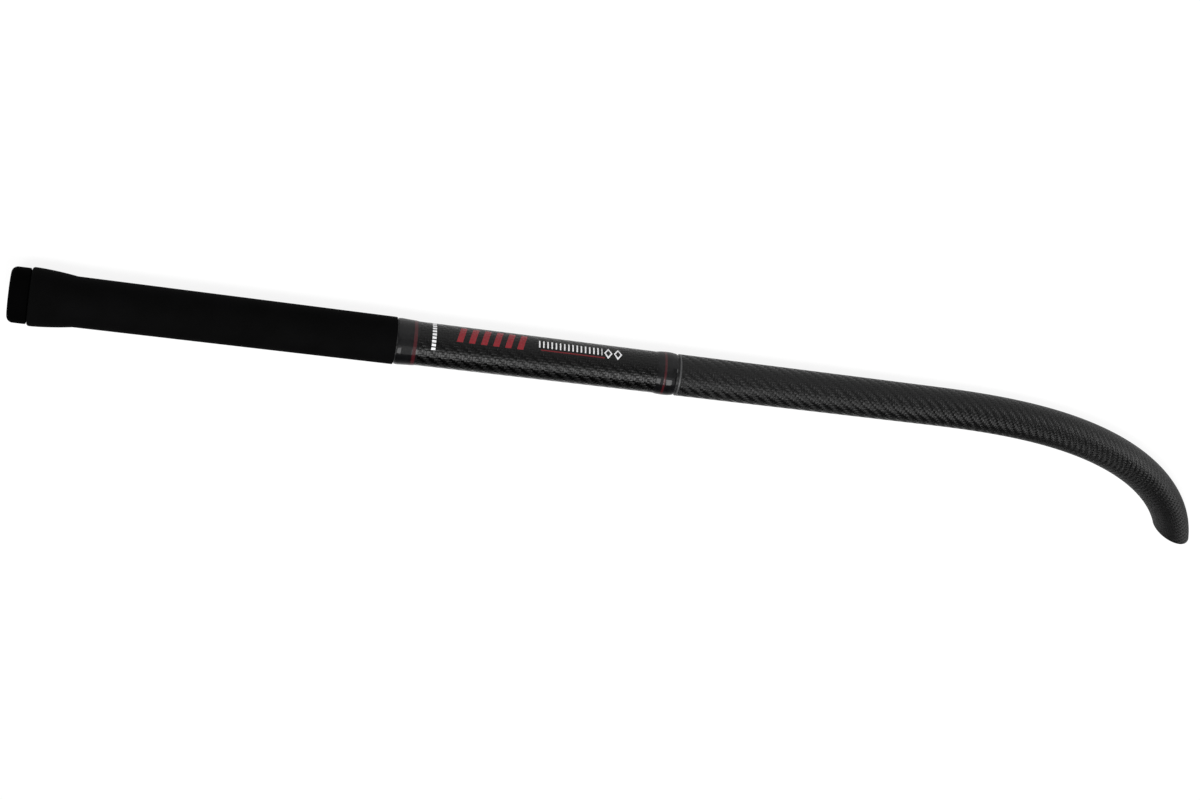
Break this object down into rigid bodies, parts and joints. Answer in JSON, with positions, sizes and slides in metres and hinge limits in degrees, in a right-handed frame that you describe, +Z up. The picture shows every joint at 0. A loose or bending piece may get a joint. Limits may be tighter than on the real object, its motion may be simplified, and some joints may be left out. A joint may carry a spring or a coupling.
{
  "type": "bait throwing stick",
  "caption": "Tapered woven-carbon throwing tube with a curved slash-cut mouth, a sleeved flared grip, a pull-off butt cap and a plug-in tip section.",
  "frame": {"origin": "centre of the butt cap's flat end face, on the axis of the straight tube", "axes": "+X along the straight tube from the butt to the mouth, the bend lies in the XY plane and turns towards -Y, +Z up as the stick lies flat"},
  "size_m": [0.8944, 0.1303, 0.0412],
  "materials": {
    "woven_tube": "satin woven carbon fibre in resin",
    "matte_woven_tube": "matt woven carbon fibre in resin",
    "lacquer": "clear gloss lacquer over woven carbon",
    "grip": "fine matt rubber",
    "former": "rigid foam, plain",
    "bush": "turned nylon, plain",
    "black_thread": "nylon winding thread under resin",
    "red_thread": "dark red winding thread under resin",
    "coat": "thick gloss winding resin",
    "cap": "soft matt rubber",
    "plug": "moulded nylon",
    "seal": "greased nitrile rubber",
    "foam": "closed-cell foam",
    "ring": "dull grey anodised",
    "rim": "black resin edge seal"
  },
  "bodies": {
    "handle": {"grip_tube": "woven_tube", "handle_tube": "woven_tube", "cap_bush": "bush", "butt_former": "former", "grip_sleeve": "grip", "rear_whipping": "black_thread", "rear_trim_band": "red_thread", "rear_coat": "coat", "clear_lacquer": "lacquer", "front_whipping": "black_thread", "front_trim_band": "red_thread", "front_coat": "coat"},
    "end_cap": {"cap_shell": "cap", "cap_plug": "plug", "cap_seals": "seal", "bait_pad": "foam"},
    "tip": {"spigot": "woven_tube", "shoulder_ring": "ring", "tip_tube": "matte_woven_tube", "tip_bend": "matte_woven_tube", "mouth_rim": "rim"}
  },
  "joints": [
    {"name": "cap_pull", "type": "slide", "parent": "handle", "child": "end_cap", "axis": [-1, 0, 0], "range_m": [0, 0.045]},
    {"name": "tip_pull", "type": "slide", "parent": "handle", "child": "tip", "axis": [1, 0, 0], "range_m": [0, 0.055]}
  ]
}
